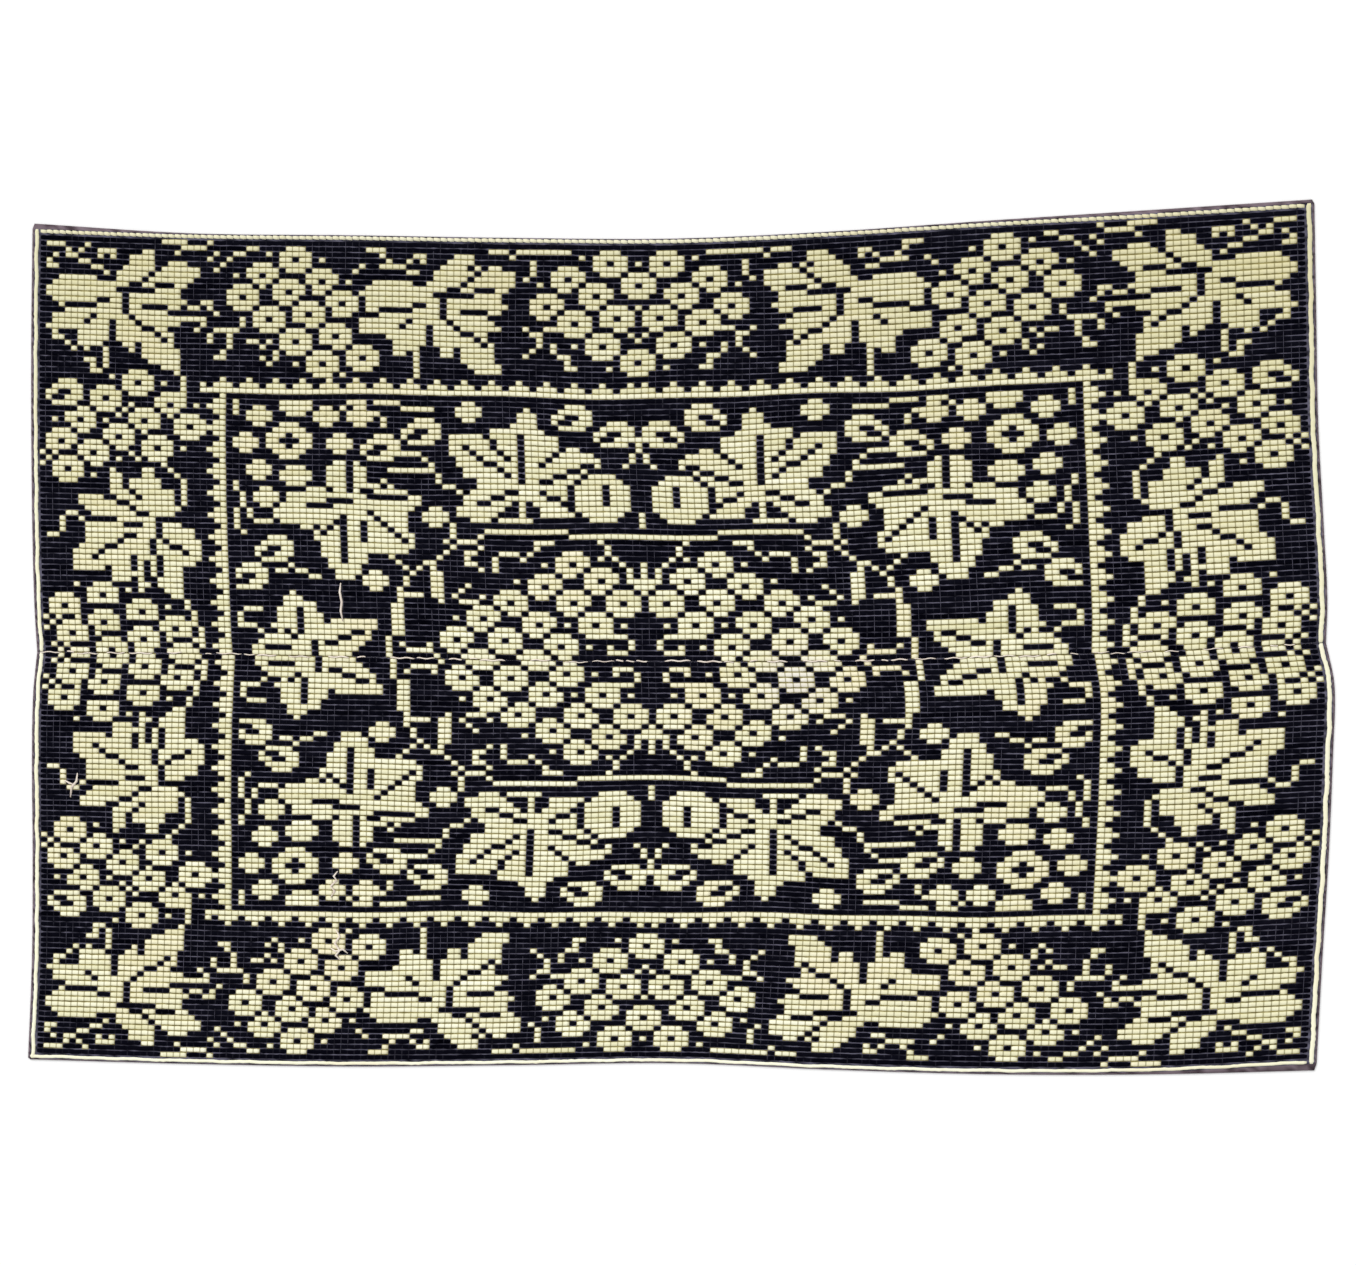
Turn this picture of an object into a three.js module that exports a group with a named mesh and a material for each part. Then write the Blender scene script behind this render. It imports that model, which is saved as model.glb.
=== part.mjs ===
// Flat wool rug: two ribbed double-woven widths laid edge to edge along a sewn seam.
// Millimetres, +X along the rug, +Y across it, +Z up from the floor, origin under its middle.
import * as THREE from 'three';

// Driving dimensions
const RIBS = 77; // weft ribs across each woven width
const CROWN_THICKNESS = 4.0; // at the top of a rib
const GROOVE_THICKNESS = 2.8; // between two ribs
const SEAM_GAP = 0.3; // the two widths lie this far apart along the seam
const LENGTH_STEPS = 12; // straight stretches along the rug

// The long edges and the seam bow a little: how far each lies from the rug's middle, by part of its length
const LONG_EDGES = [
  { along: 0, top: 632, seam: -23, bottom: -646 },
  { along: 0.125, top: 617, seam: -26, bottom: -653 },
  { along: 0.25, top: 614, seam: -31, bottom: -657 },
  { along: 0.375, top: 610, seam: -36, bottom: -655 },
  { along: 0.5, top: 609, seam: -38, bottom: -652 },
  { along: 0.625, top: 620, seam: -37, bottom: -662 },
  { along: 0.75, top: 637, seam: -30, bottom: -669 },
  { along: 0.875, top: 653, seam: -22, bottom: -669 },
  { along: 1, top: 669, seam: -9, bottom: -663 },
];

// The short ends of each width, by part of the way down it: both draw in to a notch at the seam
const UPPER_ENDS = [
  { down: 0, left: -992, right: 968 },
  { down: 0.25, left: -994, right: 971 },
  { down: 0.5, left: -994, right: 974 },
  { down: 0.75, left: -992, right: 983 },
  { down: 0.9, left: -989, right: 988 },
  { down: 1, left: -985, right: 986 },
];
const LOWER_ENDS = [
  { down: 0, left: -985, right: 986 },
  { down: 0.1, left: -991, right: 999 },
  { down: 0.25, left: -993, right: 997 },
  { down: 0.5, left: -992, right: 990 },
  { down: 0.75, left: -993, right: 980 },
  { down: 1, left: -999, right: 971 },
];

// The rug's mean colour: navy ground with cream figures
const WOOL = { color: 0x6b6860, roughness: 0.95, metalness: 0 };

// A smooth curve through one column of a table, read at a place given by another column
function smooth(rows, place, column, at) {
  const slope = (i) => {
    const before = rows[Math.max(i - 1, 0)];
    const after = rows[Math.min(i + 1, rows.length - 1)];
    return (after[column] - before[column]) / (after[place] - before[place]);
  };
  const i = Math.min(rows.findLastIndex((row) => row[place] <= at), rows.length - 2);
  const span = rows[i + 1][place] - rows[i][place];
  const t = (at - rows[i][place]) / span;
  const ease = t * t * (3 - 2 * t);
  const leave = t * (1 - t) * (1 - t) * span * slope(i);
  const arrive = t * t * (t - 1) * span * slope(i + 1);
  return THREE.MathUtils.lerp(rows[i][column], rows[i + 1][column], ease) + leave + arrive;
}

// One woven width: a flat underside, upright edges and a top face raised into ribs along the rug
function wovenWidth(upperEdge, lowerEdge, ends) {
  const lines = 2 * RIBS;
  const positions = [];
  const faces = [];
  const quad = (a, b, c, d) => faces.push(a, b, c, a, c, d);

  // Points on a line along every groove and every crown, then the same outline on the floor
  const topPoint = (line, step) => line * (LENGTH_STEPS + 1) + step;
  const floorPoint = new Map();
  const onRim = (line, step) => line === 0 || line === lines || step === 0 || step === LENGTH_STEPS;
  for (let line = 0; line <= lines; line++) {
    const down = line / lines;
    const left = smooth(ends, 'down', 'left', down);
    const right = smooth(ends, 'down', 'right', down);
    for (let step = 0; step <= LENGTH_STEPS; step++) {
      const along = step / LENGTH_STEPS;
      const x = THREE.MathUtils.lerp(left, right, along);
      const y = THREE.MathUtils.lerp(upperEdge(along), lowerEdge(along), down);
      positions.push(x, y, line % 2 === 1 ? CROWN_THICKNESS : GROOVE_THICKNESS);
    }
  }
  for (let line = 0; line <= lines; line++) {
    for (let step = 0; step <= LENGTH_STEPS; step++) {
      if (!onRim(line, step)) continue;
      const top = topPoint(line, step);
      floorPoint.set(top, positions.length / 3);
      positions.push(positions[3 * top], positions[3 * top + 1], 0);
    }
  }
  const floor = (line, step) => floorPoint.get(topPoint(line, step));

  // Ribbed top
  for (let line = 0; line < lines; line++) {
    for (let step = 0; step < LENGTH_STEPS; step++) {
      quad(
        topPoint(line, step),
        topPoint(line + 1, step),
        topPoint(line + 1, step + 1),
        topPoint(line, step + 1),
      );
    }
  }

  // Upright edges
  for (let step = 0; step < LENGTH_STEPS; step++) {
    quad(floor(0, step + 1), floor(0, step), topPoint(0, step), topPoint(0, step + 1));
    quad(floor(lines, step), floor(lines, step + 1), topPoint(lines, step + 1), topPoint(lines, step));
  }
  for (let line = 0; line < lines; line++) {
    quad(floor(line, 0), floor(line + 1, 0), topPoint(line + 1, 0), topPoint(line, 0));
    quad(
      floor(line + 1, LENGTH_STEPS),
      floor(line, LENGTH_STEPS),
      topPoint(line, LENGTH_STEPS),
      topPoint(line + 1, LENGTH_STEPS),
    );
  }

  // Flat underside: plain strips across the rug, and a fan onto the many points of each end
  for (let step = 1; step < LENGTH_STEPS - 1; step++) {
    quad(floor(0, step), floor(0, step + 1), floor(lines, step + 1), floor(lines, step));
  }
  const middle = RIBS;
  const last = LENGTH_STEPS;
  for (let line = 0; line < lines; line++) {
    const near = line < middle ? 0 : lines;
    faces.push(floor(near, 1), floor(line + 1, 0), floor(line, 0));
    faces.push(floor(near, last - 1), floor(line, last), floor(line + 1, last));
  }
  faces.push(floor(0, 1), floor(lines, 1), floor(middle, 0));
  faces.push(floor(0, last - 1), floor(middle, last), floor(lines, last - 1));

  const geometry = new THREE.BufferGeometry();
  geometry.setAttribute('position', new THREE.Float32BufferAttribute(positions, 3));
  geometry.setIndex(faces);
  geometry.computeVertexNormals();
  return geometry;
}

const edge = (column, offset = 0) => (along) => smooth(LONG_EDGES, 'along', column, along) + offset;
const upper = new THREE.Mesh(
  wovenWidth(edge('top'), edge('seam', SEAM_GAP / 2), UPPER_ENDS),
  new THREE.MeshStandardMaterial(WOOL),
);
upper.name = 'panel_upper';
const lower = new THREE.Mesh(
  wovenWidth(edge('seam', -SEAM_GAP / 2), edge('bottom'), LOWER_ENDS),
  new THREE.MeshStandardMaterial(WOOL),
);
lower.name = 'panel_lower';

// The rug's outline is centred over the origin
const rug = new THREE.Group();
rug.add(upper, lower);
const centre = new THREE.Box3().setFromObject(rug).getCenter(new THREE.Vector3());
rug.position.set(-centre.x, -centre.y, 0);

export default rug;
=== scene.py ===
"""Looks of a flat wool rug: two double-woven widths in cream and navy, sewn together along the middle."""
import math

import bpy
import numpy as np
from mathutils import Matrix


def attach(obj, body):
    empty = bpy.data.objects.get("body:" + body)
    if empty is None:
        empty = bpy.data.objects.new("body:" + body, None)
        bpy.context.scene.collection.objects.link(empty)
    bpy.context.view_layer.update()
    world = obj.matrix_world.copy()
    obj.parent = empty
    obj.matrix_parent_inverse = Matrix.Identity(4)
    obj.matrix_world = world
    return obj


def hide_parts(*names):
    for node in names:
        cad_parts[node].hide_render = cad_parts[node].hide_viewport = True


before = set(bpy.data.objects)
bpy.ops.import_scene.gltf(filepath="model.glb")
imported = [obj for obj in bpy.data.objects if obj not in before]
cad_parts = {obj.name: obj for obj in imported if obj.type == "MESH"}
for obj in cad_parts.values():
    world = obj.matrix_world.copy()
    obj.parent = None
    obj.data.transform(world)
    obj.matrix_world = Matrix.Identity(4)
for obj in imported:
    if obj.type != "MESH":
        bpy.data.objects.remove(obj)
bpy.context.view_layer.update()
MM = 0.001
SEED = 11
random = np.random.default_rng(SEED)

# Outline of the rug, as in its solids: millimetres from its middle, by part of its length or of a width
ALONG = np.linspace(0, 1, 9)
TOP_EDGE = (632, 617, 614, 610, 609, 620, 637, 653, 669)
SEAM = (-23, -26, -31, -36, -38, -37, -30, -22, -9)
BOTTOM_EDGE = (-646, -653, -657, -655, -652, -662, -669, -669, -663)
UPPER_DOWN = (0, 0.25, 0.5, 0.75, 0.9, 1)
UPPER_LEFT = (-992, -994, -994, -992, -989, -985)
UPPER_RIGHT = (968, 971, 974, 983, 988, 986)
LOWER_DOWN = (0, 0.1, 0.25, 0.5, 0.75, 1)
LOWER_LEFT = (-985, -991, -993, -992, -993, -999)
LOWER_RIGHT = (986, 999, 997, 990, 980, 971)
SEAM_GAP = 0.3
LENGTH = 1980
WIDTH = 655
SOLID_STEPS = 12  # straight stretches along the solids

# Weave of each width in cells, with a cream guard at both ends and along the outer edge
INNER_ROWS = 76
ROWS = INNER_ROWS + 1
MIDDLE = 89
COLUMNS = 2 * MIDDLE + 3
CELL_ASPECT = 1.34  # a cell's width over its height
COLUMN_GROWTH = {"upper": 0.11, "lower": 0.095}  # narrower at the left and wider at the right by this part

# Heights, in millimetres
CROWN = 4.0
GROUND_TOP = 2.6
FLOAT_FOOT = 2.2
RIM_DROP = 0.7
UNDERSIDE_GROOVE = 0.6

# Width of the plain rim outside the guards, in millimetres, along each edge by eighths of the length; its
# dark mauve is partly the hem's edge and partly painted shadow
END_RIM = 3.0
TOP_RIM = (8, 1.5, 1, 1, 1, 1, 2.5, 5, 5)
BOTTOM_RIM = (2, 1.5, 1.5, 1.5, 1.5, 1.5, 2.5, 4, 10)
CORNER_CUT = 0.994  # the rim's corners are drawn in to this part of the outline

# Sway of the weave inside its outline: its reach, and its waves' millimetres to a radian along X and Y
SWAY = 1.6
SIDE_WAVE = (143, 71)
LONG_WAVE = (83, 61)
SHORT_WAVE = (37, -90)
SHORT_SHARE = 0.6

# Camera's picture: millimetres a pixel, its size, and the pixel over the rug's middle
PIXEL = 1.53
PHOTO_SIZE = (1356, 1265)
RUG_PIXEL = (681.5, 637)

# Pulled yarns, each as its radius in millimetres and its pixels
PULLED = [
    (1.9, (341, 583), (340, 592), (342, 602), (341, 611), (343, 621)),
    (1.9, (78, 773), (77, 781), (72, 787), (71, 797)),
    (1.6, (65, 780), (70, 783), (76, 785)),
    (1.8, (331, 897), (335, 891), (331, 886), (337, 880), (334, 876), (338, 871)),
    (2.0, (336, 929), (340, 936), (335, 943), (340, 950), (336, 955), (341, 960)),
    (1.6, (331, 948), (336, 951), (343, 949), (348, 953)),
]

# Pale warp ends: their number in each width, rows of navy that they need, half lengths in rows, and sizes
WARP_ENDS = 420
WARP_ROWS = 5
WARP_REACH = (0.8, 2.5)
WARP_RADIUS = (0.25, 0.4)
WARP_HEIGHT = 3.95
WARP_POINTS = 5

# Sewing along the seam, in millimetres: where it starts and stops, and its stitches
SEWING_START = 4.0
SEWING_STOP = LENGTH - 60
STITCH_LENGTH = (10, 40)
STITCH_GAPS = (3, 9, 18, 30)
STITCH_GAP_SPREAD = (0.6, 1.4)
STITCH_RADIUS = (0.7, 1.3)
STITCH_OFF = 0.7
STITCH_WAVE = 0.8
STITCH_WAVE_LENGTH = 23
STITCH_HEIGHT = 3.6
STITCH_ARCH = 0.5
STITCH_UNEVEN = 0.1
STITCH_POINTS = 9

# Round threads: the sides of their section, and how thin their ends are
THREAD_SIDES = 5
THREAD_TIP = 0.5

# A painted highlight, a pale lavender patch: its middle pixel, and its reach in metres
HIGHLIGHT_PIXEL = (795, 683)
HIGHLIGHT_REACH = 0.07


# Design of one quarter on a grid of cells: True is cream, False is navy
design = np.zeros((INNER_ROWS, MIDDLE + 1), bool)
design_columns, design_rows = np.meshgrid(np.arange(MIDDLE + 1), np.arange(INNER_ROWS))
FRAME_ROW = 27
FRAME_COLUMN = 28
FRAME_OVERHANG = 3  # the frame starts so many columns outside its side
TOOTH_PITCH = 4
CHECK_REACH = 4  # checks lie within so many cells of two berries or more
BLADE_ROOT = 0.3  # a blade's width at the leaf's heart, as a part of its greatest
BLADE_POINT = 0.65  # how fast a blade narrows to its tip: the less, the blunter

BERRY = (".###.",
         "#####",
         "##o##",
         "#####",
         ".###.")
BUD = (".##.",
       "####",
       "####",
       ".##.")
RING = ("..###.",
        ".#####",
        "##oo##",
        "#oo###",
        ".####.")
BELL = ("..####..",
        ".######.",
        "####o###",
        "####o###",
        "####o###",
        "####o###",
        "########",
        ".######.",
        "..####..")
PETAL = (".###.",
         "#####",
         "#####",
         ".###.")
ROSETTE = ("..###..",
           ".#####.",
           "###o###",
           "##ooo##",
           "###o###",
           ".#####.",
           "..###..")


def mark(column, row, cream):
    """Sets one cell of the quarter, if it lies on it."""
    if 0 <= row < INNER_ROWS and 0 <= column <= MIDDLE:
        design[row, column] = cream


def signs_of(picture, column, row):
    """The cells of a small chart with its middle on a cell, each with its sign."""
    top = round(row) - len(picture) // 2
    left = round(column) - len(picture[0]) // 2
    rows = enumerate(picture)
    return [(left + c, top + r, sign) for r, signs in rows for c, sign in enumerate(signs) if sign != "."]


def charts(picture, places):
    """Stamps a small chart at each place in turn, inside a dark outline."""
    for place in places:
        signs = signs_of(picture, *place)
        for c, r, _ in signs:
            for across, down in ((-1, 0), (1, 0), (0, -1), (0, 1)):
                mark(c + across, r + down, False)
        for c, r, sign in signs:
            mark(c, r, sign == "#")


def checks(places):
    """Single cream cells in the gaps between places, which touch the motifs at their corners alone."""
    for row in range(INNER_ROWS):
        for column in range(MIDDLE + 1):
            near = sum(max(abs(c - column), abs(r - row)) <= CHECK_REACH for c, r in places)
            upright = design[max(row - 1, 0):row + 2, column]
            level = design[row, max(column - 1, 0):column + 2]
            if near >= 2 and not upright.any() and not level.any():
                mark(column, row, True)


def line(points, cream=True):
    """A stem, vein or tendril one cell wide, straight from point to point."""
    for (c0, r0), (c1, r1) in zip(points, points[1:]):
        steps = math.ceil(max(abs(c1 - c0), abs(r1 - r0), 1))
        for part in np.linspace(0, 1, steps + 1):
            mark(round(c0 + (c1 - c0) * part), round(r0 + (r1 - r0) * part), cream)


def blade(column, row, across, down, half, bulge):
    """A pointed blade from a leaf's heart to a tip so many cells off, widest at a part of its length.

    The half width is in cell heights.
    """
    length = math.hypot(across * CELL_ASPECT, down)
    x = (design_columns + 0.5 - column) * CELL_ASPECT
    y = design_rows + 0.5 - row
    along = (x * across * CELL_ASPECT + y * down) / length**2
    off = np.abs(x * down - y * across * CELL_ASPECT) / length
    rise = BLADE_ROOT + (1 - BLADE_ROOT) * np.clip(along / bulge, 0, 1)
    fall = np.clip((1 - along) / (1 - bulge), 0, 1) ** BLADE_POINT
    design[(along > 0) & (off < half * rise * fall)] = True


def leaf(column, row, shape):
    """A leaf about its heart: blades as tip, half width and bulge, and dark veins from cell to cell."""
    for tip in shape["blades"]:
        blade(column, row, *tip)
    for vein in shape["veins"]:
        line([(int(column) + c, int(row) + r) for c, r in vein], cream=False)


BORDER_LEAF = {
    "blades": [(6.8, -6.8, 2.4, 0.6), (13.4, -3.0, 3.3, 0.7), (11.8, 2.8, 2.8, 0.55), (10.8, 6.4, 2.6, 0.5),
               (10.5, 15.5, 4.8, 0.5), (3.5, 12.3, 2.8, 0.6), (-4.5, 11.6, 4.4, 0.66), (-10, 7.6, 3.8, 0.66),
               (-10.6, 1.6, 3.4, 0.62)],
    "veins": [[(3, -1), (5, -2)], [(6, -3), (8, -5)], [(1, 0), (4, 0), (9, -1)], [(-1, 2), (-9, 4)],
              [(2, 1), (2, 4)], [(3, 5), (8, 9)], [(0, 6), (0, 9)], [(4, 10), (4, 12)], [(-3, 5), (-4, 6)],
              [(5, 3), (11, 4)]],
}
BAND_LEAF = {
    "blades": [(-0.6, -10, 3.0, 0.64), (-6.8, -9.5, 2.8, 0.7), (2.8, -6, 2.4, 0.6), (-12, -4.2, 2.8, 0.62),
               (-11.5, 1.2, 1.7, 0.5), (-13, 8, 3.6, 0.68), (-6.2, 11.5, 2.5, 0.72), (-2, 13, 2.2, 0.72),
               (3.6, 14.2, 3.4, 0.7), (7.8, 6.8, 3.8, 0.62)],
    "veins": [[(-4, -9), (-4, -7)], [(-3, -6), (-2, -5)], [(-1, -2), (-5, -4)], [(-7, -5), (-6, -5)],
              [(-11, -1), (-6, -1)], [(-4, 0), (-2, 0)], [(-3, 2), (-4, 2)], [(-5, 3), (-9, 6)],
              [(1, -1), (1, 2)], [(0, 3), (0, 5)], [(-3, 6), (-3, 8)], [(-1, 7), (-1, 10)], [(2, 3), (5, 5)],
              [(1, 6), (1, 9)]],
}
FIELD_LEAF = {
    "blades": [(0.5, -14.5, 3.2, 0.7), (-4.2, -10.5, 3.2, 0.75), (4.6, -9.8, 3.4, 0.72),
               (-11.5, -8.8, 4.2, 0.6), (11.3, -4.8, 5.0, 0.6), (-10, 5, 3.6, 0.6), (6.8, 5, 3.2, 0.6)],
    "veins": [[(-1, -9), (-1, -1)], [(-9, -7), (-3, -2)], [(2, -1), (9, -4)], [(-2, 1), (-7, 3)],
              [(2, 1), (5, 3)], [(-3, -5), (-6, -9)], [(2, -4), (5, -7)]],
}
HANGING_LEAF = {
    "blades": [(-2.5, -8, 3.0, 0.55), (1.5, -8, 2.4, 0.55), (10.5, -0.3, 3.0, 0.6), (9, 8.5, 5.4, 0.6),
               (-1.3, 15, 6.6, 0.45), (-11.5, 3, 3.6, 0.6), (-9.5, -1, 2.2, 0.6)],
    "veins": [[(-1, 4), (-1, 11)], [(2, 4), (2, 7)], [(3, 2), (8, 7)], [(-6, 1), (-3, 1), (-3, 0), (0, 0)],
              [(3, -1), (8, -1)], [(-1, 3), (-4, 6)], [(0, -6), (0, -2)]],
}
SEAM_LEAF = {
    "blades": [(-1.5, -10.5, 5.6, 0.5), (11.5, -5.5, 3.4, 0.5), (-8.5, 0, 2.8, 0.6), (-3.8, -6, 2.8, 0.6),
               (8, -1, 2.4, 0.6)],
    "veins": [[(-1, -8), (-1, -4)], [(3, -2), (8, -4)], [(-3, -1), (-6, -1)], [(-2, -3), (-3, -4)],
              [(1, -2), (1, 0)]],
}

BERRIES = [
    # Top border
    (39, 3), (34, 6), (43, 7), (31, 10), (38, 9), (46, 11), (35, 14), (41, 13), (45, 17), (39, 18), (43, 22),
    (49, 21),
    (85, 3), (79, 6), (89, 7), (76, 11), (83, 9), (86, 13), (80, 14), (84, 18), (89, 21),
    # Left border
    (15, 26), (10, 29), (20, 30), (6, 33), (16, 33), (23, 34), (3, 37), (12, 36), (18, 38), (8, 39), (4, 42),
    (9, 65), (3, 67), (15, 68), (9, 70), (20, 71), (4, 72), (15, 73), (10, 75), (21, 76), (5, 77),
    # Oval
    (79, 58), (83, 61), (75, 62), (79, 65), (86, 65), (70, 65), (66, 68), (74, 69), (82, 69), (62, 72),
    (69, 72), (77, 73), (65, 76), (73, 76),
]
RINGS = [(4, 28), (36, 56), (32, 61), (80, 31), (86, 34), (58, 34), (52, 37)]
BUDS = [(34, 32), (44, 32), (32, 37), (46, 37), (34, 42), (49, 32), (35, 47), (51, 62), (60, 50), (65, 31)]
PETALS = [(39, 30), (39, 43)]
BELLS = [(84, 46)]
TENDRILS = [
    # Corner and top band
    [(1, 1), (3, 1), (4, 3), (7, 4), (10, 6)], [(2, 5), (1, 5), (1, 4), (2, 3)], [(6, 2), (7, 1)],
    [(9, 3), (9, 2), (11, 2), (11, 3)], [(10, 20), (10, 23), (9, 24), (8, 24), (7, 22), (8, 22)],
    [(2, 16), (2, 18), (4, 19), (5, 20)], [(20, 21), (21, 24), (22, 26), (22, 28)], [(19, 0), (22, 0)],
    [(21, 2), (22, 1), (25, 1), (26, 0)], [(26, 3), (27, 2)], [(27, 5), (28, 4), (29, 3), (30, 2), (33, 1)],
    [(23, 12), (26, 11), (27, 13)], [(22, 14), (25, 14)], [(24, 16), (25, 15)],
    [(26, 18), (27, 16), (29, 16), (29, 19), (28, 21), (27, 21)], [(30, 16), (31, 15)], [(32, 18), (34, 19)],
    [(34, 21), (35, 22), (36, 20)], [(50, 1), (52, 1), (53, 3), (52, 4)], [(48, 5), (49, 4)],
    [(53, 4), (57, 5)], [(56, 3), (57, 2), (58, 2), (58, 3)], [(68, 1), (70, 1), (71, 2)],
    [(72, 1), (74, 1)], [(75, 1), (79, 1)],
    [(74, 3), (74, 5), (73, 6)], [(73, 15), (75, 16), (75, 18), (73, 20)], [(76, 15), (78, 15)],
    [(77, 18), (77, 19), (79, 20)], [(79, 22), (79, 21), (80, 22)], [(57, 18), (57, 24)],
    # Left band
    [(19, 41), (22, 44), (22, 48), (20, 50)], [(1, 54), (3, 53), (3, 51), (5, 50), (6, 51)],
    [(22, 66), (23, 69), (24, 73)], [(2, 66), (5, 67), (5, 69)],
    # Field
    [(30, 31), (30, 28), (32, 28)], [(45, 31), (47, 29), (49, 29)], [(51, 29), (54, 29)],
    [(55, 30), (59, 30)], [(51, 31), (52, 33)], [(53, 41), (58, 41)],
    [(55, 38), (57, 38), (59, 40), (60, 43), (63, 45)],
    [(50, 44), (52, 43)], [(89, 35), (89, 37), (87, 40)], [(89, 49), (89, 51)],
    [(72, 45), (72, 50)], [(69, 50), (73, 50)], [(30, 44), (31, 47), (30, 50), (30, 52), (31, 53)],
    [(32, 49), (33, 51), (35, 51)], [(36, 60), (38, 59)], [(39, 60), (42, 61)], [(30, 70), (30, 68)],
    [(31, 67), (33, 67)], [(31, 70), (33, 71)],
    # Oval vine
    [(89, 53), (79, 53), (78, 52), (68, 52), (66, 53), (62, 55), (60, 57), (57, 59), (55, 61), (54, 64),
     (53, 67), (53, 70), (52, 73), (52, 75)],
    [(54, 65), (54, 71)], [(56, 60), (54, 58), (53, 57)], [(55, 64), (57, 64)],
    [(61, 54), (62, 52), (61, 50)], [(59, 59), (59, 64)], [(60, 60), (60, 65)],
    [(62, 64), (63, 63), (64, 62)], [(63, 65), (65, 65)],
    [(66, 55), (64, 56), (64, 58), (66, 59)], [(68, 59), (68, 57), (70, 56), (72, 57)],
    [(73, 56), (74, 54), (76, 54)], [(83, 54), (85, 57), (87, 59), (88, 62)], [(89, 58), (89, 63)],
    [(54, 73), (56, 74), (58, 73), (59, 75)],
    [(84, 71), (86, 71), (87, 72), (87, 73), (86, 74), (84, 74), (84, 73)],
]


def tooth(step):
    """Whether a tooth's foot and its tip stand at a step along the frame."""
    return step % TOOTH_PITCH != TOOTH_PITCH // 2, step % TOOTH_PITCH == 0


def sawtooth_frame():
    """The field's frame: a dark line inside a cream one, with stepped teeth outside it."""
    for column in range(FRAME_COLUMN - FRAME_OVERHANG, MIDDLE + 1):
        for out, cream in enumerate((False, True, *tooth(column - FRAME_COLUMN))):
            mark(column, FRAME_ROW + 1 - out, cream)
    for row in range(FRAME_ROW + 1, INNER_ROWS):
        for out, cream in enumerate((False, True, *tooth(row - FRAME_ROW + 1))):
            mark(FRAME_COLUMN + 1 - out, row, cream)


def draw_quarter():
    """Places every motif of the upper left quarter."""
    leaf(11.5, 9, BORDER_LEAF)
    leaf(59, 9, BORDER_LEAF)
    leaf(17.5, 52, BAND_LEAF)
    leaf(47.5, 47.5, HANGING_LEAF)
    leaf(73, 44.5, FIELD_LEAF)
    leaf(40, 75, SEAM_LEAF)
    charts(BERRY, BERRIES)
    checks(BERRIES)
    charts(ROSETTE, [(38, 36)])
    charts(PETAL, PETALS)
    charts(RING, RINGS)
    charts(BELL, BELLS)
    charts(BUD, BUDS)
    for points in TENDRILS:
        line(points)
    sawtooth_frame()


def whole_width(width):
    """The cream cells of one width: the quarter mirrored about the middle column, inside its guards."""
    cells = np.ones((ROWS, COLUMNS), bool)
    cells[1:, 1:-1] = np.hstack([design, design[:, -2::-1]])
    return cells if width == "upper" else cells[::-1]


# Shape of each width
def smooth(places, values, at):
    """A smooth curve through values given at places."""
    places = np.asarray(places, float)
    values = np.asarray(values, float)
    last = len(places) - 1
    before = np.maximum(np.arange(last + 1) - 1, 0)
    after = np.minimum(np.arange(last + 1) + 1, last)
    slopes = (values[after] - values[before]) / (places[after] - places[before])
    i = np.clip(np.searchsorted(places, at, side="right") - 1, 0, last - 1)
    span = places[i + 1] - places[i]
    t = (at - places[i]) / span
    ease = t * t * (3 - 2 * t)
    bend = t * (1 - t) * span * ((1 - t) * slopes[i] - t * slopes[i + 1])
    return values[i] + (values[i + 1] - values[i]) * ease + bend


def outline_point(width, along, down):
    """A point of one width in millimetres, by part of its length and part of the way down it."""
    if width == "upper":
        left = smooth(UPPER_DOWN, UPPER_LEFT, down)
        right = smooth(UPPER_DOWN, UPPER_RIGHT, down)
        top = smooth(ALONG, TOP_EDGE, along)
        bottom = smooth(ALONG, SEAM, along) + SEAM_GAP / 2
    else:
        left = smooth(LOWER_DOWN, LOWER_LEFT, down)
        right = smooth(LOWER_DOWN, LOWER_RIGHT, down)
        top = smooth(ALONG, SEAM, along) - SEAM_GAP / 2
        bottom = smooth(ALONG, BOTTOM_EDGE, along)
    return left + (right - left) * along, top + (bottom - top) * down


def rug_centre():
    """Middle of the outline's box, which lies over the origin, read at the steps of the solids."""
    along, down = np.meshgrid(np.linspace(0, 1, SOLID_STEPS + 1), np.linspace(0, 1, 2 * ROWS + 1))
    points = [outline_point(width, along, down) for width in ("upper", "lower")]
    x = np.stack([point[0] for point in points])
    y = np.stack([point[1] for point in points])
    return (x.min() + x.max()) / 2, (y.min() + y.max()) / 2


CENTRE = rug_centre()


def wave(x, y, radian):
    """A slanting wave over the rug, by its millimetres to a radian along X and Y."""
    return np.sin(x / radian[0] + y / radian[1])


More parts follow.
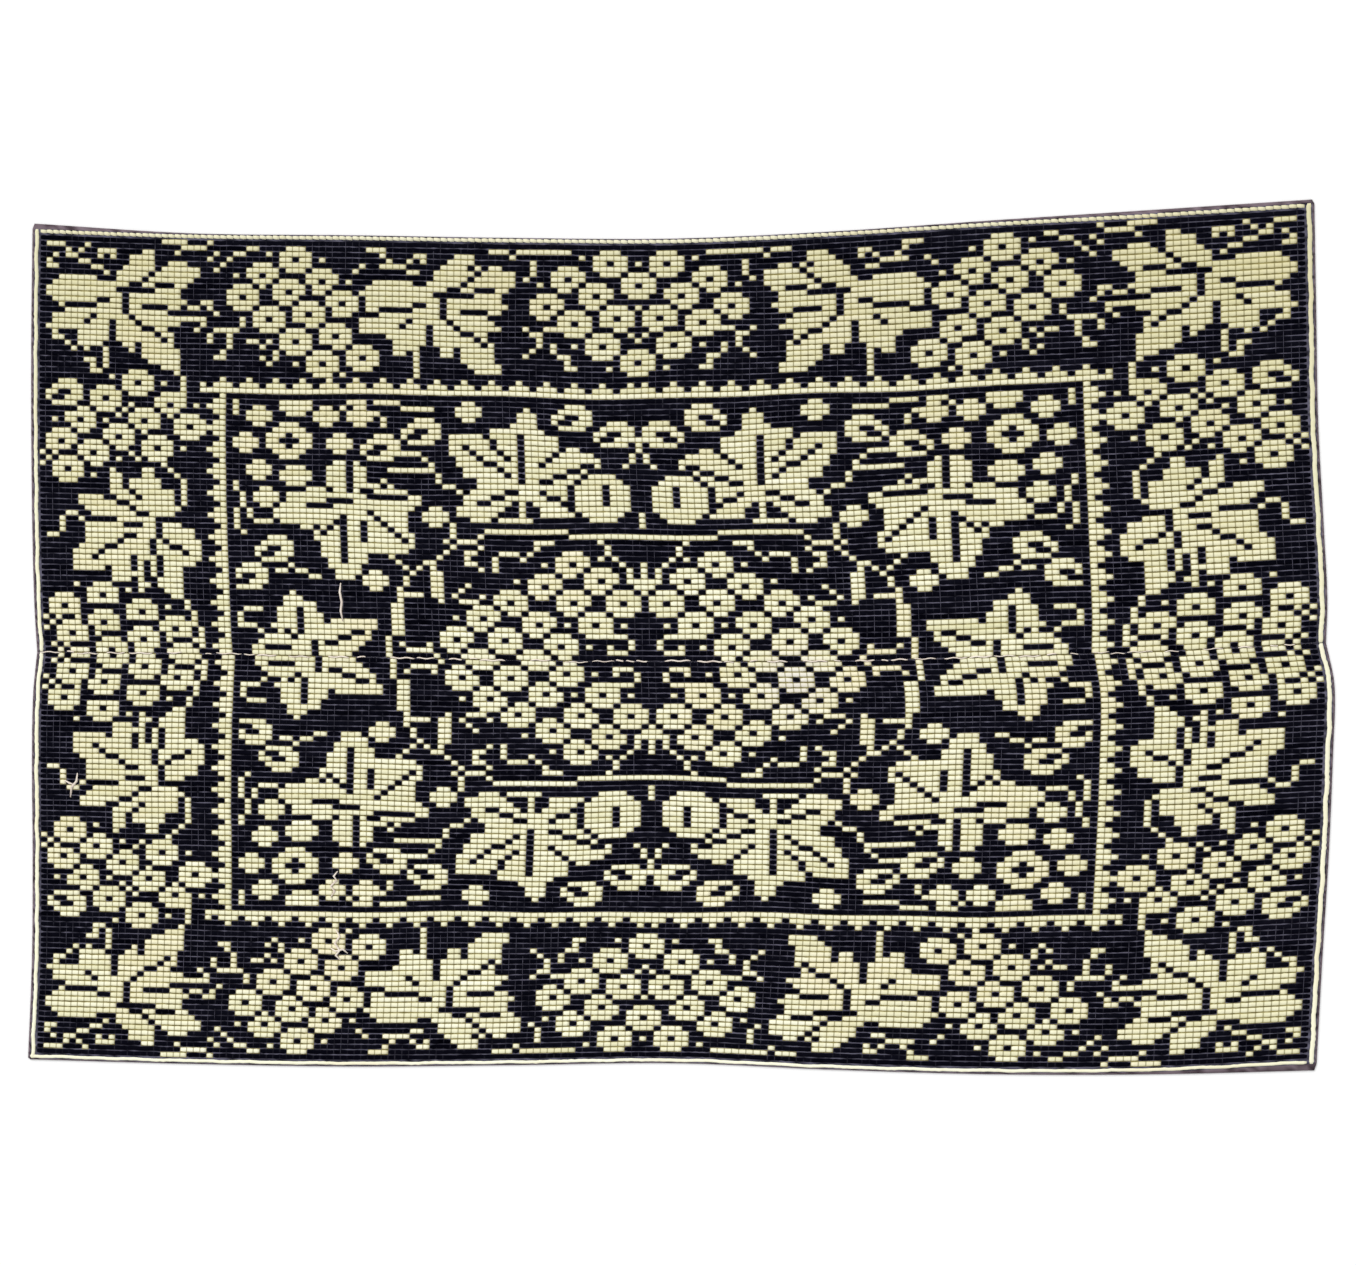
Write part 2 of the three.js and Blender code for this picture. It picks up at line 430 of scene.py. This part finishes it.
def weave_point(width, column, row, height):
    """Metres of a point given in columns from the left guard, rows from the width's upper edge, and height.

    A column below 0 or past the last one, and a row past the outer guard, lies on the rug's rim.
    """
    part = np.clip(column / COLUMNS, 0, 1)
    part = part - COLUMN_GROWTH[width] * part * (1 - part)
    rim = END_RIM / LENGTH
    along = np.where(column < 0, 0, np.where(column > COLUMNS, 1, rim + (1 - 2 * rim) * part))
    if width == "upper":
        rim = smooth(ALONG, TOP_RIM, along) / WIDTH
        down = np.where(row < 0, 0, rim + (1 - rim) * row / ROWS)
    else:
        rim = smooth(ALONG, BOTTOM_RIM, along) / WIDTH
        down = np.where(row > ROWS, 1, (1 - rim) * row / ROWS)
    down = np.clip(down, 0, 1)
    cut = ((column < 0) | (column > COLUMNS)) & ((row < 0) | (row > ROWS))
    along = np.where(cut, 0.5 + (along - 0.5) * CORNER_CUT, along)
    down = np.where(cut, 0.5 + (down - 0.5) * CORNER_CUT, down)
    x, y = outline_point(width, along, down)
    inside = 16 * along * (1 - along) * down * (1 - down)
    sway_x = SWAY * inside * wave(x, y, SIDE_WAVE)
    sway_y = SWAY * inside * (wave(x, y, LONG_WAVE) + SHORT_SHARE * wave(x, y, SHORT_WAVE))
    return np.stack([x - CENTRE[0] + sway_x, y - CENTRE[1] + sway_y, height + 0 * x], -1) * MM


# Yarn floats: each is a row of cross-sections, as places along it, its middle line, half widths and heights
SECTION = np.array([(-1, 0), (-0.72, 0.76), (0, 1), (0.72, 0.76), (1, 0)])

# Looks of the floats, in parts of a cell, with their dips between cells and end drops in millimetres
LOOKS = {
    "cream": dict(fill=0.91, dip=0.55, end=0.9, inset=0.06, taper=0.84, tone=0.5, lines=True),
    "navy": dict(fill=0.90, dip=0.2, end=1.2, inset=0.04, taper=0.84, tone=0.5, lines=True),
    "dash": dict(fill=0.76, dip=0.3, end=0.6, inset=0.02, taper=0.88, tone=1.0, lines=False),
    "cord": dict(fill=0.66, dip=0.3, end=0.8, inset=0.05, taper=0.75, tone=0.8, lines=False),
}

# Unevenness of the floats: height in millimetres, waist between cells, width, line in cells, and tones
HEIGHT_SPREAD = 0.12
WAIST = 0.96
WIDTH_SPREAD = 0.03
LINE_SPREAD = 0.02
FLOAT_TONE_SPREAD = 0.15
CELL_TONE_SPREAD = 0.08

# Guards, in cells: how far they lie outwards of their line, the cords' waves, and the slant of the dashes
GUARD_SHIFT = 0.08
CORD_WAVE = 0.07
CORD_QUICK_TURN = 0.9
CORD_SLOW_TURN = 0.23
DASH_SLANT = 0.12


def stretches(cells):
    """Start and stop of each stretch of true cells."""
    return np.flatnonzero(np.diff(np.concatenate([[0], cells, [0]]).astype(int))).reshape(-1, 2)


def yarn_float(start, stop, lane, look, upright=False):
    """One float over the cells from start to stop, lying along a row or, upright, along a column."""
    count = 2 * (stop - start) + 1
    along = start + np.arange(count) / 2
    top = np.arange(count) % 2 == 1
    height = np.where(top, CROWN, CROWN - look["dip"]) - np.abs(random.normal(0, HEIGHT_SPREAD, count))
    half = look["fill"] / 2 * np.where(top, 1, WAIST) * random.normal(1, WIDTH_SPREAD, count)
    for end, inward in ((0, 1), (-1, -1)):
        along[end] += inward * look["inset"]
        height[end] = CROWN - look["end"]
        half[end] *= look["taper"]
    middle = lane + 0.5 + random.normal(0, LINE_SPREAD, count)
    tone = random.normal(look["tone"], FLOAT_TONE_SPREAD) + random.normal(0, CELL_TONE_SPREAD, count)
    return along, middle, half, height, np.clip(tone, 0, 1), upright, look["lines"]


def row_floats(cells, look):
    """Floats along the rows over all the true cells of a width."""
    rows = range(ROWS)
    return [yarn_float(start, stop, row, look) for row in rows for start, stop in stretches(cells[row])]


def guard_cord(length, lane, upright=False):
    """A wavy cord along one edge."""
    along, middle, *rest = yarn_float(0, length, lane, LOOKS["cord"], upright)
    bend = CORD_WAVE * np.sin(CORD_QUICK_TURN * along) * np.sin(CORD_SLOW_TURN * along + lane)
    return along, middle + bend, *rest


def guard_floats(width):
    """The cream guards: a cord at each end, short dashes along the top edge and a cord along the bottom."""
    ends = (-GUARD_SHIFT, COLUMNS - 1 + GUARD_SHIFT)
    floats = [guard_cord(ROWS, column, upright=True) for column in ends]
    if width == "lower":
        return floats + [guard_cord(COLUMNS - 1, ROWS - 1 + GUARD_SHIFT)]
    for column in range(1, COLUMNS - 1):
        along, middle, *rest = yarn_float(column, column + 1, -GUARD_SHIFT, LOOKS["dash"])
        floats.append((along, middle + DASH_SLANT * (along - column - 0.5), *rest))
    return floats


def tube_faces(first, rings, sides):
    """Faces of a closed tube whose rings of points follow one another from a first point on."""
    faces = []
    ring = first + sides * np.arange(rings)
    for j in range(sides):
        k = (j + 1) % sides
        faces += np.stack([ring[:-1] + j, ring[1:] + j, ring[1:] + k, ring[:-1] + k], -1).tolist()
    faces.append((ring[0] + np.arange(sides)).tolist())
    faces.append((ring[-1] + np.arange(sides))[::-1].tolist())
    return faces


def float_mesh(width, floats):
    """Points, faces, tones and weave places of all these floats: a float without cell lines has no place."""
    places, faces, tones, weaves = [], [], [], []
    total = 0
    sides = len(SECTION)
    for along, middle, half, height, tone, upright, lines in floats:
        across = middle[:, None] + half[:, None] * SECTION[:, 0]
        column = np.repeat(along[:, None], sides, 1)
        z = FLOAT_FOOT + (height[:, None] - FLOAT_FOOT) * SECTION[:, 1]
        if upright:
            column, across = across[:, ::-1], column
        column = np.clip(column, 0, COLUMNS)
        across = np.clip(across, 0, ROWS)
        places.append(np.stack([column, across, z], -1).reshape(-1, 3))
        weaves.append(places[-1] if lines else np.full_like(places[-1], 0.5))
        tones.append(np.repeat(tone, sides))
        faces += tube_faces(total, len(along), sides)
        total += sides * len(along)
    points = weave_point(width, *np.concatenate(places).T)
    return points, faces, np.concatenate(tones), np.concatenate(weaves)


def ground_mesh(width, cells):
    """The closed sheet under the floats: a flat top, a ribbed underside, and a material for each face."""
    columns = np.concatenate([[-1], np.arange(COLUMNS + 1), [COLUMNS + 1]]).astype(float)
    rows = np.arange(2 * ROWS + 1) / 2
    rows = np.concatenate([[-1], rows]) if width == "upper" else np.concatenate([rows, [ROWS + 1]])
    column, row = np.meshgrid(columns, rows)
    rim = (column < 0) | (column > COLUMNS) | (row < 0) | (row > ROWS)
    groove = (np.round(2 * row) % 2 == 0) & ~rim
    places = np.stack([column, row, np.where(rim, GROUND_TOP - RIM_DROP, GROUND_TOP)], -1).reshape(-1, 3)
    under = np.stack([column, row, np.where(groove, UNDERSIDE_GROOVE, 0)], -1).reshape(-1, 3)
    places = np.concatenate([places, under])

    # Faces of the top, the underside and the wall around them
    tall, wide = column.shape
    index = np.arange(tall * wide).reshape(tall, wide)
    top = np.stack([index[:-1, :-1], index[1:, :-1], index[1:, 1:], index[:-1, 1:]], -1).reshape(-1, 4)
    bottom = top[:, ::-1] + tall * wide
    border = np.concatenate([index[:-1, 0], index[-1, :-1], index[:0:-1, -1], index[0, ::-1]])
    wall = np.stack([border[:-1], border[:-1] + tall * wide, border[1:] + tall * wide, border[1:]], -1)
    faces = np.concatenate([top, bottom, wall]).tolist()

    # The underside shows the other colour of each cell
    column_of = np.clip(np.floor((columns[:-1] + columns[1:]) / 2), 0, COLUMNS - 1).astype(int)
    row_of = np.clip(np.floor((rows[:-1] + rows[1:]) / 2), 0, ROWS - 1).astype(int)
    cream = cells[np.ix_(row_of, column_of)]
    edge = np.zeros_like(cream)
    edge[:, [0, -1]] = True
    edge[0 if width == "upper" else -1] = True
    # The ground's top, seen in the grooves between floats, is coloured as painted shade: brown between
    # cream, grey between navy
    shown = np.where(edge, "rim", np.where(cream, "under_cream", "under_navy"))
    hidden = np.where(edge, "rim", np.where(cream, "navy", "cream"))
    kinds = np.concatenate([shown.ravel(), hidden.ravel(), np.full(len(wall), "rim")])
    return weave_point(width, *places.T), faces, random.uniform(0, 1, len(places)), places, kinds


# Sewing and worn threads
def seam_point(along, off, height):
    """Metres of a point off the seam line, by part of the rug's length."""
    x, y = outline_point("upper", along, np.ones_like(along))
    return np.stack([x - CENTRE[0], y - CENTRE[1] - SEAM_GAP / 2 + off, height + 0 * x], -1) * MM


def seam_stitches():
    """Uneven lengths of sewing yarn along the seam, on one side of it or the other, as paths and radii."""
    paths = []
    at = SEWING_START
    part = np.linspace(0, 1, STITCH_POINTS)
    while at < SEWING_STOP:
        length = random.uniform(*STITCH_LENGTH)
        off = random.normal(0, STITCH_OFF)
        turn = 2 * np.pi * (part * length / STITCH_WAVE_LENGTH + random.random())
        height = STITCH_HEIGHT + STITCH_ARCH * np.sin(np.pi * part)
        height = height + random.normal(0, STITCH_UNEVEN, STITCH_POINTS)
        path = seam_point((at + length * part) / LENGTH, off + STITCH_WAVE * np.sin(turn), height)
        paths.append((path, random.uniform(*STITCH_RADIUS)))
        at += length + random.choice(STITCH_GAPS) * random.uniform(*STITCH_GAP_SPREAD)
    return paths


def photo_point(column, row, height):
    """Metres of a pixel of the photograph."""
    return np.array([(column - RUG_PIXEL[0]) * PIXEL, (RUG_PIXEL[1] - row) * PIXEL, height]) * MM


def worn_threads():
    """Yarns pulled out of the face, as paths and radii."""
    paths = []
    for radius, *pixels in PULLED:
        points = [photo_point(*pixel, CROWN) for pixel in pixels]
        paths.append((np.array(points), radius))
    return paths


def warp_ends(width, cells):
    """Pale warp threads that show here and there between the navy floats."""
    paths = []
    window = np.lib.stride_tricks.sliding_window_view(cells, WARP_ROWS, axis=0)
    navy = np.argwhere(~window.any(-1))
    for row, column in navy[random.choice(len(navy), WARP_ENDS, replace=False)]:
        middle = row + WARP_ROWS / 2
        reach = random.uniform(*WARP_REACH)
        rows = np.clip(np.linspace(middle - reach, middle + reach, WARP_POINTS), 0.5, ROWS - 0.5)
        points = weave_point(width, np.full(WARP_POINTS, float(column)), rows, WARP_HEIGHT)
        paths.append((points, random.uniform(*WARP_RADIUS)))
    return paths


def thread_mesh(paths):
    """Points and faces of round threads along these paths."""
    points, faces = [], []
    total = 0
    turns = np.linspace(0, 2 * np.pi, THREAD_SIDES, endpoint=False)
    for path, radius in paths:
        ahead = np.gradient(path, axis=0)
        side = np.stack([-ahead[:, 1], ahead[:, 0], 0 * ahead[:, 0]], -1)
        side /= np.linalg.norm(side, axis=1, keepdims=True)
        ring = side[:, None] * np.cos(turns)[:, None] + np.array([0, 0, 1]) * np.sin(turns)[:, None]
        taper = np.ones(len(path))
        taper[[0, -1]] = THREAD_TIP
        points.append((path[:, None] + ring * radius * MM * taper[:, None, None]).reshape(-1, 3))
        faces += tube_faces(total, len(path), THREAD_SIDES)
        total += THREAD_SIDES * len(path)
    return np.concatenate(points), faces


# Materials
def screen(red, green, blue):
    """Linear colour from 8-bit screen values."""
    parts = np.array([red, green, blue]) / 255
    linear = np.where(parts <= 0.04045, parts / 12.92, ((parts + 0.055) / 1.055) ** 2.4)
    return (*linear.tolist(), 1.0)


CREAM_TINT = {
    "pale": screen(250, 249, 227),
    "deep": screen(221, 218, 179),
    "warm": screen(238, 226, 192),
    "dull": screen(198, 190, 146),
    # Olive: the cream's own yellower tint towards the ends, and painted shade along the edges of each row
    "edge": screen(206, 198, 134),
    # Brown of the painted shade in the dips between cells
    "line": screen(124, 117, 74),
    # Pale lavender of a painted highlight
    "painted_highlight": screen(224, 217, 224),
}
NAVY_TINT = {"dark": screen(1, 1, 5), "light": screen(15, 15, 24), "line": screen(92, 90, 104)}
WOOL_ROUGHNESS = 0.95
FIBRES_PER_METRE = 700.0
FINE_DETAIL = 3.0
FIBRE_HEIGHT = 0.8 * MM
FIBRE_STRENGTH = 0.3

# Cream yarn: how much of each tint shows at most, and the noise, metres or parts of a cell where it grows
PATCHES_PER_METRE = 5.0
WARM_MOST = 0.55
WARM_NOISE = (0.5, 0.72)
DULL_TO_TOP = 0.45
TOP_METRES = (0.1, 0.6)
DULL_TO_RIGHT = 0.18
RIGHT_METRES = (0.0, 1.0)
YELLOW_AT_ENDS = 0.12
END_METRES = (0.3, 1.0)
# Most of the painted highlight that shows at its middle
HIGHLIGHT_MOST = 0.6
# Painted shade along the edges of each row: its most, and its reach in parts of a row
ROW_EDGE_SHADE_MOST = 0.5
ROW_EDGE_SHADE_REACH = 0.3
# Painted shade in the dips between cells: its most, and its reach in parts of a cell
CELL_SHADE_MOST = 0.9
CELL_SHADE_REACH = 0.13

# Navy yarn: the specks between its cells
SPECKS_PER_METRE = 60.0
SPECK_MOST = 0.4
SPECK_NOISE = (0.45, 0.7)
SPECK_REACH = 0.08


class Wool:
    """A wool material and the helpers that add its nodes, most of which return an output to link on."""

    def __init__(self, name):
        self.material = bpy.data.materials.new(name)
        self.material.use_nodes = True
        self.nodes = self.material.node_tree.nodes
        self.links = self.material.node_tree.links
        self.shader = self.nodes["Principled BSDF"]
        self.shader.inputs["Roughness"].default_value = WOOL_ROUGHNESS
        self.shader.inputs["Specular IOR Level"].default_value = 0.0

    def put(self, socket, value):
        """Links an output to a socket, or sets a plain value."""
        if isinstance(value, bpy.types.NodeSocket):
            self.links.new(value, socket)
        else:
            socket.default_value = value

    def attribute(self, name, output):
        """An attribute of the mesh."""
        node = self.nodes.new("ShaderNodeAttribute")
        node.attribute_name = name
        return node.outputs[output]

    def maths(self, operation, first, second=0.0):
        """A sum, product or other result of one or two numbers."""
        node = self.nodes.new("ShaderNodeMath")
        node.operation = operation
        self.put(node.inputs[0], first)
        self.put(node.inputs[1], second)
        return node.outputs[0]

    def spread(self, value, low, high, out_low=0.0, out_high=1.0):
        """A value spread from one range onto another, held inside it."""
        node = self.nodes.new("ShaderNodeMapRange")
        self.put(node.inputs["Value"], value)
        self.put(node.inputs["From Min"], low)
        self.put(node.inputs["From Max"], high)
        self.put(node.inputs["To Min"], out_low)
        self.put(node.inputs["To Max"], out_high)
        return node.outputs["Result"]

    def mix(self, amount, first, second):
        """A colour between two others."""
        node = self.nodes.new("ShaderNodeMix")
        node.data_type = "RGBA"
        self.put(node.inputs["Factor"], amount)
        self.put(node.inputs["A"], first)
        self.put(node.inputs["B"], second)
        return node.outputs["Result"]

    def noise(self, place, scale, detail=2.0):
        """Noise over the object, with so many waves a metre."""
        node = self.nodes.new("ShaderNodeTexNoise")
        self.put(node.inputs["Vector"], place)
        self.put(node.inputs["Scale"], scale)
        self.put(node.inputs["Detail"], detail)
        return node.outputs["Fac"]

    def place(self):
        """Where the surface lies, in metres."""
        return self.nodes.new("ShaderNodeTexCoord").outputs["Object"]

    def axis(self, vector, name):
        """One part of a vector."""
        node = self.nodes.new("ShaderNodeSeparateXYZ")
        self.put(node.inputs["Vector"], vector)
        return node.outputs[name]

    def distance(self, first, second):
        """How far two places lie apart."""
        node = self.nodes.new("ShaderNodeVectorMath")
        node.operation = "DISTANCE"
        self.put(node.inputs[0], first)
        self.put(node.inputs[1], second)
        return node.outputs["Value"]

    def bump(self, height, strength, distance):
        """A normal tilted by a height."""
        node = self.nodes.new("ShaderNodeBump")
        self.put(node.inputs["Height"], height)
        self.put(node.inputs["Strength"], strength)
        self.put(node.inputs["Distance"], distance)
        return node.outputs["Normal"]

    def near_line(self, number, reach):
        """One at whole numbers, falling to nothing within reach on both sides."""
        away = self.maths("ABSOLUTE", self.maths("SUBTRACT", self.maths("FRACT", number), 0.5))
        return self.spread(away, 0.5 - reach, 0.5)

    def finish(self, colour):
        """The finished material, with its colour and fine fibres."""
        fibres = self.noise(self.place(), FIBRES_PER_METRE, FINE_DETAIL)
        self.put(self.shader.inputs["Base Color"], colour)
        self.put(self.shader.inputs["Normal"], self.bump(fibres, FIBRE_STRENGTH, FIBRE_HEIGHT))
        return self.material


def cream_wool():
    """Cream yarn: its tints waver over the rug, with a painted highlight on one patch, painted shade along
    the edges of each row, and brown lines of painted shade between cells.
    """
    wool = Wool("cream_wool")
    place = wool.place()
    colour = wool.mix(wool.attribute("tone", "Fac"), CREAM_TINT["deep"], CREAM_TINT["pale"])
    warm = wool.spread(wool.noise(place, PATCHES_PER_METRE, FINE_DETAIL), *WARM_NOISE, 0, WARM_MOST)
    colour = wool.mix(warm, colour, CREAM_TINT["warm"])
    to_top = wool.spread(wool.axis(place, "Y"), *TOP_METRES, 0, DULL_TO_TOP)
    to_right = wool.spread(wool.axis(place, "X"), *RIGHT_METRES, 0, DULL_TO_RIGHT)
    colour = wool.mix(wool.maths("ADD", to_top, to_right), colour, CREAM_TINT["dull"])
    from_middle = wool.maths("ABSOLUTE", wool.axis(place, "X"))
    yellow = wool.spread(from_middle, *END_METRES, 0, YELLOW_AT_ENDS)
    colour = wool.mix(yellow, colour, CREAM_TINT["edge"])
    # Painted highlight: pale lavender over one patch, growing weaker out to its reach
    highlight_distance = wool.distance(place, photo_point(*HIGHLIGHT_PIXEL, CROWN))
    colour = wool.mix(wool.spread(highlight_distance, 0, HIGHLIGHT_REACH, HIGHLIGHT_MOST, 0), colour, CREAM_TINT["painted_highlight"])
    # Painted shade: olive towards the edges of each row, where the yarn rounds down
    row = wool.axis(wool.attribute("weave", "Vector"), "Y")
    edge = wool.maths("MULTIPLY", wool.near_line(row, ROW_EDGE_SHADE_REACH), ROW_EDGE_SHADE_MOST)
    colour = wool.mix(edge, colour, CREAM_TINT["edge"])
    # Painted shade: brown lines in the dips between cells
    column = wool.axis(wool.attribute("weave", "Vector"), "X")
    between = wool.maths("MULTIPLY", wool.near_line(column, CELL_SHADE_REACH), CELL_SHADE_MOST)
    colour = wool.mix(between, colour, CREAM_TINT["line"])
    return wool.finish(colour)


def navy_wool():
    """Navy yarn: near black, with faint pale specks between cells."""
    wool = Wool("navy_wool")
    place = wool.place()
    colour = wool.mix(wool.attribute("tone", "Fac"), NAVY_TINT["dark"], NAVY_TINT["light"])
    column = wool.axis(wool.attribute("weave", "Vector"), "X")
    patches = wool.spread(wool.noise(place, SPECKS_PER_METRE), *SPECK_NOISE, 0, SPECK_MOST)
    speck = wool.maths("MULTIPLY", wool.near_line(column, SPECK_REACH), patches)
    return wool.finish(wool.mix(speck, colour, NAVY_TINT["line"]))


def plain_wool(name, first, second):
    """Yarn whose colour wavers between two tones."""
    wool = Wool(name)
    return wool.finish(wool.mix(wool.attribute("tone", "Fac"), first, second))


MATERIALS = {
    "cream": cream_wool(),
    "navy": navy_wool(),
    # Ground between cream floats: painted shade, a darkened cream-brown
    "under_cream": plain_wool("cream_groove_painted_shade", screen(96, 87, 52), screen(150, 140, 90)),
    # Grey of pale yarn in painted shade, seen between navy floats and on the warp ends
    "under_navy": plain_wool("pale_yarn_painted_shade", screen(6, 6, 15), screen(100, 98, 114)),
    # Dark mauve of the rim: partly the hem's edge, partly painted shadow
    "rim": plain_wool("rim_hem_and_painted_shadow", screen(60, 48, 54), screen(130, 116, 124)),
    "thread": plain_wool("sewing_thread", screen(210, 194, 182), screen(242, 233, 220)),
}


# Pieces
def add_piece(name, points, faces, kinds, tones=None, places=None):
    """A mesh object that rides on the rug's one body: a material kind for all its faces, or one for each."""
    mesh = bpy.data.meshes.new(name)
    mesh.from_pydata(points.tolist(), [], faces)
    names = [kinds] if isinstance(kinds, str) else sorted(set(kinds.tolist()))
    for kind in names:
        mesh.materials.append(MATERIALS[kind])
    if not isinstance(kinds, str):
        mesh.polygons.foreach_set("material_index", np.searchsorted(names, kinds).astype(np.int32))
    if tones is None:
        tones = random.uniform(0, 1, len(points))
    mesh.attributes.new("tone", "FLOAT", "POINT").data.foreach_set("value", tones.astype(np.float32))
    if places is not None:
        weave = mesh.attributes.new("weave", "FLOAT_VECTOR", "POINT")
        weave.data.foreach_set("vector", places.astype(np.float32).ravel())
    mesh.polygons.foreach_set("use_smooth", np.ones(len(mesh.polygons), bool))
    mesh.update()
    piece = bpy.data.objects.new(name, mesh)
    bpy.context.scene.collection.objects.link(piece)
    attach(piece, "root")
    return piece


FLAT_METRES = {"upper": (1.98, 0.66), "lower": (1.99, 0.64)}
draw_quarter()
for width, flat in FLAT_METRES.items():
    cells = whole_width(width)
    inner = cells.copy()
    inner[:, [0, -1]] = False
    inner[0 if width == "upper" else -1] = False
    points, faces, tones, places, kinds = ground_mesh(width, inner)
    ground = add_piece(f"{width}_ground", points, faces, kinds, tones, places)
    floats = row_floats(inner, LOOKS["cream"]) + guard_floats(width)
    points, faces, tones, places = float_mesh(width, floats)
    cream = add_piece(f"{width}_cream_yarn", points, faces, "cream", tones, places)
    points, faces, tones, places = float_mesh(width, row_floats(~cells, LOOKS["navy"]))
    navy = add_piece(f"{width}_navy_yarn", points, faces, "navy", tones, places)
    # The warp ends take the grey of pale yarn in painted shade
    warp = add_piece(f"{width}_warp_ends", *thread_mesh(warp_ends(width, cells)), "under_navy")
    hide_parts(f"panel_{width}")
seam = add_piece("seam_thread", *thread_mesh(seam_stitches()), "thread")
worn = add_piece("worn_threads", *thread_mesh(worn_threads()), "thread")

# Floor
FLOOR_REACH = 60.0
FLOOR_DROP = 0.3 * MM
FLOOR_COLOUR = (0.93, 0.93, 0.93, 1)
FLOOR_ROUGHNESS = 0.9
corner_signs = ((-1, -1), (1, -1), (1, 1), (-1, 1))
floor_corners = [(x * FLOOR_REACH, y * FLOOR_REACH, -FLOOR_DROP) for x, y in corner_signs]
floor_mesh = bpy.data.meshes.new("floor")
floor_mesh.from_pydata(floor_corners, [], [(0, 1, 2, 3)])
floor_material = bpy.data.materials.new("pale_floor")
floor_material.use_nodes = True
floor_shader = floor_material.node_tree.nodes["Principled BSDF"]
floor_shader.inputs["Base Color"].default_value = FLOOR_COLOUR
floor_shader.inputs["Roughness"].default_value = FLOOR_ROUGHNESS
floor_mesh.materials.append(floor_material)
floor = bpy.data.objects.new("floor", floor_mesh)
bpy.context.scene.collection.objects.link(floor)

# Light
WORLD_STRENGTH = 0.74
LAMP_ENERGY = 2.0
LAMP_ANGLE = math.radians(50)
LAMP_TILT = math.radians(-38)
LAMP_PLACE = (-2.0, 2.0, 3.0)
world = bpy.data.worlds.new("studio")
world.use_nodes = True
background = world.node_tree.nodes["Background"]
background.inputs["Color"].default_value = (1, 1, 1, 1)
background.inputs["Strength"].default_value = WORLD_STRENGTH
bpy.context.scene.world = world
lamp_data = bpy.data.lights.new("soft_lamp", "SUN")
lamp_data.energy = LAMP_ENERGY
lamp_data.angle = LAMP_ANGLE
lamp = bpy.data.objects.new("soft_lamp", lamp_data)
lamp.location = LAMP_PLACE
lamp.rotation_euler = (LAMP_TILT, LAMP_TILT, 0)
bpy.context.scene.collection.objects.link(lamp)

# Camera, straight above
LENS = 80
SENSOR = 36
camera_data = bpy.data.cameras.new("camera")
camera_data.lens = LENS
camera_data.sensor_fit = "HORIZONTAL"
camera_data.sensor_width = SENSOR
camera = bpy.data.objects.new("camera", camera_data)
distance = PHOTO_SIZE[0] * PIXEL * MM * LENS / SENSOR
camera.location = photo_point(PHOTO_SIZE[0] / 2, PHOTO_SIZE[1] / 2, distance / MM)
bpy.context.scene.collection.objects.link(camera)
bpy.context.scene.camera = camera
bpy.context.scene.view_settings.view_transform = "Standard"
